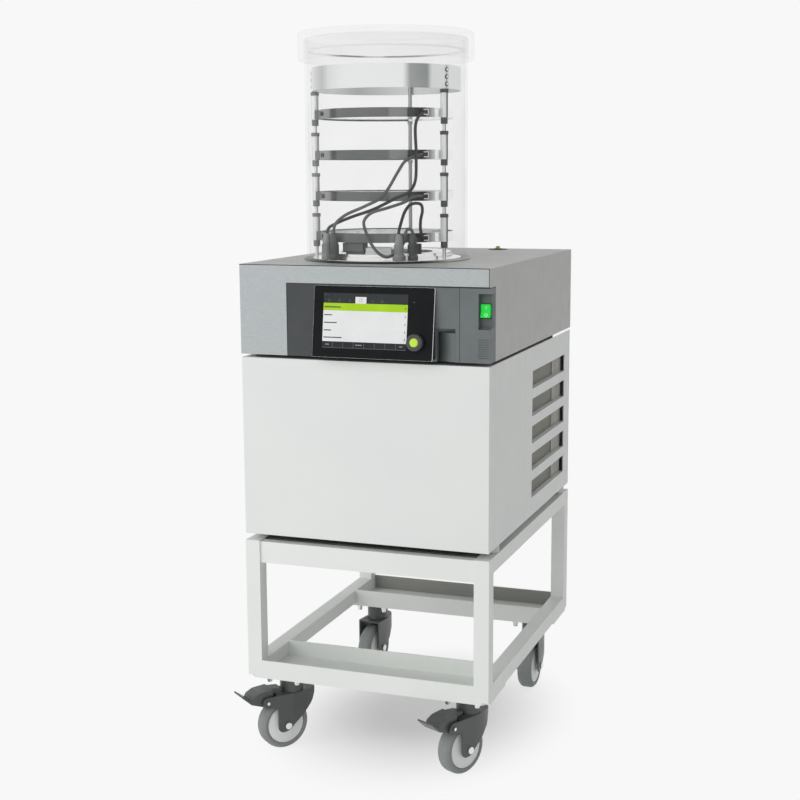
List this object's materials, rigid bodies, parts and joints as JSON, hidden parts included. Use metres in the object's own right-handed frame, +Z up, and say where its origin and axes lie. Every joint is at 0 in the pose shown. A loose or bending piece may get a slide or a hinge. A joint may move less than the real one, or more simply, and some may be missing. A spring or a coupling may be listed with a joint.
{
  "type": "laboratory freeze dryer",
  "caption": "Laboratory freeze dryer on a wheeled stand: vented cabinet, control head with display and knob, and a clear acrylic chamber with a rack of heated shelves.",
  "frame": {"origin": "on the floor, at the middle of the overall plan", "axes": "+X to the machine's right, +Y from the front to the back, +Z up"},
  "size_m": [0.534, 0.6912, 1.4392],
  "materials": {
    "white_paint": "satin powder coat",
    "grey_paint": "satin powder coat",
    "plated_sheet": "satin",
    "silver_trim": "satin, fine speckle",
    "console_plastic": "fine texture",
    "dark_plastic": "matte",
    "display_panel": "gloss",
    "knob_plastic": "matte",
    "lime_plastic": "gloss",
    "green_plastic": "gloss",
    "clear_acrylic": "polished clear",
    "black_rubber": "matte",
    "grey_rubber": "matte",
    "plug_plastic": "matte",
    "stainless": "brushed",
    "anodised": "satin anodised",
    "tyre_grey": "matte",
    "hub_plastic": "satin",
    "zinc_steel": "zinc plated",
    "fork_paint": "satin",
    "black_paint": "semi gloss",
    "fin_metal": "bare"
  },
  "bodies": {
    "machine": {"stand_frame": "white_paint", "front_left_caster_plate": "zinc_steel", "front_right_caster_plate": "zinc_steel", "rear_left_caster_plate": "zinc_steel", "rear_right_caster_plate": "zinc_steel", "front_panel": "white_paint", "left_side_panel": "white_paint", "right_side_panel": "white_paint", "right_vent_panel": "white_paint", "chassis": "plated_sheet", "condenser_core": "fin_metal", "compressor": "black_paint", "cold_trap": "stainless", "hood": "grey_paint", "fascia": "silver_trim", "console": "console_plastic", "display_housing": "dark_plastic", "display_glass": "display_panel", "top_port": "dark_plastic", "base_plate": "stainless", "chamber_seal": "black_rubber", "left_rack_post": "stainless", "right_rack_post": "stainless", "top_ring": "stainless", "shelf_1": "anodised", "shelf_2": "anodised", "shelf_3": "anodised", "shelf_4": "anodised", "plug_1": "plug_plastic", "plug_2": "plug_plastic", "plug_3": "plug_plastic", "plug_4": "plug_plastic", "lead_1": "grey_rubber", "lead_2": "grey_rubber", "lead_3": "grey_rubber", "lead_4": "grey_rubber"},
    "front_left_swivel": {"front_left_caster_fork": "fork_paint", "front_left_caster_axle": "zinc_steel"},
    "front_left_wheel": {"front_left_caster_tyre": "tyre_grey", "front_left_caster_hub": "hub_plastic"},
    "front_left_brake": {"front_left_brake_pedal": "fork_paint"},
    "front_right_swivel": {"front_right_caster_fork": "fork_paint", "front_right_caster_axle": "zinc_steel"},
    "front_right_wheel": {"front_right_caster_tyre": "tyre_grey", "front_right_caster_hub": "hub_plastic"},
    "front_right_brake": {"front_right_brake_pedal": "fork_paint"},
    "rear_left_swivel": {"rear_left_caster_fork": "fork_paint", "rear_left_caster_axle": "zinc_steel"},
    "rear_left_wheel": {"rear_left_caster_tyre": "tyre_grey", "rear_left_caster_hub": "hub_plastic"},
    "rear_right_swivel": {"rear_right_caster_fork": "fork_paint", "rear_right_caster_axle": "zinc_steel"},
    "rear_right_wheel": {"rear_right_caster_tyre": "tyre_grey", "rear_right_caster_hub": "hub_plastic"},
    "fan": {"fan_rotor": "dark_plastic"},
    "knob": {"control_knob": "knob_plastic"},
    "knob_button": {"knob_cap": "lime_plastic"},
    "power_switch": {"rocker_switch": "green_plastic"},
    "chamber": {"chamber_tube": "clear_acrylic"},
    "lid": {"chamber_lid": "clear_acrylic"}
  },
  "joints": [
    {"name": "front_left_swivel_turn", "type": "hinge", "parent": "machine", "child": "front_left_swivel", "pos_m": [-0.17501, -0.22843, 0.13919], "axis": [0, 0, 1], "continuous": true},
    {"name": "front_left_wheel_roll", "type": "hinge", "parent": "front_left_swivel", "child": "front_left_wheel", "pos_m": [-0.18892, -0.24547, 0.05219], "axis": [0.7749, -0.632, 0], "continuous": true},
    {"name": "front_left_brake_press", "type": "hinge", "parent": "front_left_swivel", "child": "front_left_brake", "pos_m": [-0.21673, -0.27957, 0.10819], "axis": [0.7749, -0.632, 0], "range_deg": [0, 10]},
    {"name": "front_right_swivel_turn", "type": "hinge", "parent": "machine", "child": "front_right_swivel", "pos_m": [0.20499, -0.22843, 0.13919], "axis": [0, 0, 1], "continuous": true},
    {"name": "front_right_wheel_roll", "type": "hinge", "parent": "front_right_swivel", "child": "front_right_wheel", "pos_m": [0.19514, -0.2481, 0.05219], "axis": [0.8942, -0.4478, 0], "continuous": true},
    {"name": "front_right_brake_press", "type": "hinge", "parent": "front_right_swivel", "child": "front_right_brake", "pos_m": [0.17544, -0.28744, 0.10819], "axis": [0.8942, -0.4478, 0], "range_deg": [0, 10]},
    {"name": "rear_left_swivel_turn", "type": "hinge", "parent": "machine", "child": "rear_left_swivel", "pos_m": [-0.17501, 0.27457, 0.13919], "axis": [0, 0, 1], "continuous": true},
    {"name": "rear_left_wheel_roll", "type": "hinge", "parent": "rear_left_swivel", "child": "rear_left_wheel", "pos_m": [-0.17819, 0.2528, 0.05219], "axis": [0.9895, -0.1444, 0], "continuous": true},
    {"name": "rear_right_swivel_turn", "type": "hinge", "parent": "machine", "child": "rear_right_swivel", "pos_m": [0.20499, 0.27457, 0.13919], "axis": [0, 0, 1], "continuous": true},
    {"name": "rear_right_wheel_roll", "type": "hinge", "parent": "rear_right_swivel", "child": "rear_right_wheel", "pos_m": [0.2046, 0.25258, 0.05219], "axis": [0.9998, -0.0175, 0], "continuous": true},
    {"name": "fan_spin", "type": "hinge", "parent": "machine", "child": "fan", "pos_m": [0.19999, 0.15707, 0.62894], "axis": [1, 0, 0], "continuous": true},
    {"name": "knob_turn", "type": "hinge", "parent": "machine", "child": "knob", "pos_m": [0.12999, -0.32474, 0.85751], "axis": [0, -0.99, 0.1409], "continuous": true},
    {"name": "knob_press", "type": "slide", "parent": "knob", "child": "knob_button", "axis": [0, 0.99, -0.1409], "range_m": [0, 0.0012], "stiffness_N_per_m": 700, "springref_m": -0.0006},
    {"name": "power_rock", "type": "hinge", "parent": "machine", "child": "power_switch", "pos_m": [0.25579, -0.28743, 0.91619], "axis": [1, 0, 0], "range_deg": [0, 12]},
    {"name": "chamber_lift", "type": "slide", "parent": "machine", "child": "chamber", "axis": [0, 0, 1], "range_m": [0, 0.4]},
    {"name": "lid_lift", "type": "slide", "parent": "chamber", "child": "lid", "axis": [0, 0, 1], "range_m": [0, 0.06]}
  ]
}
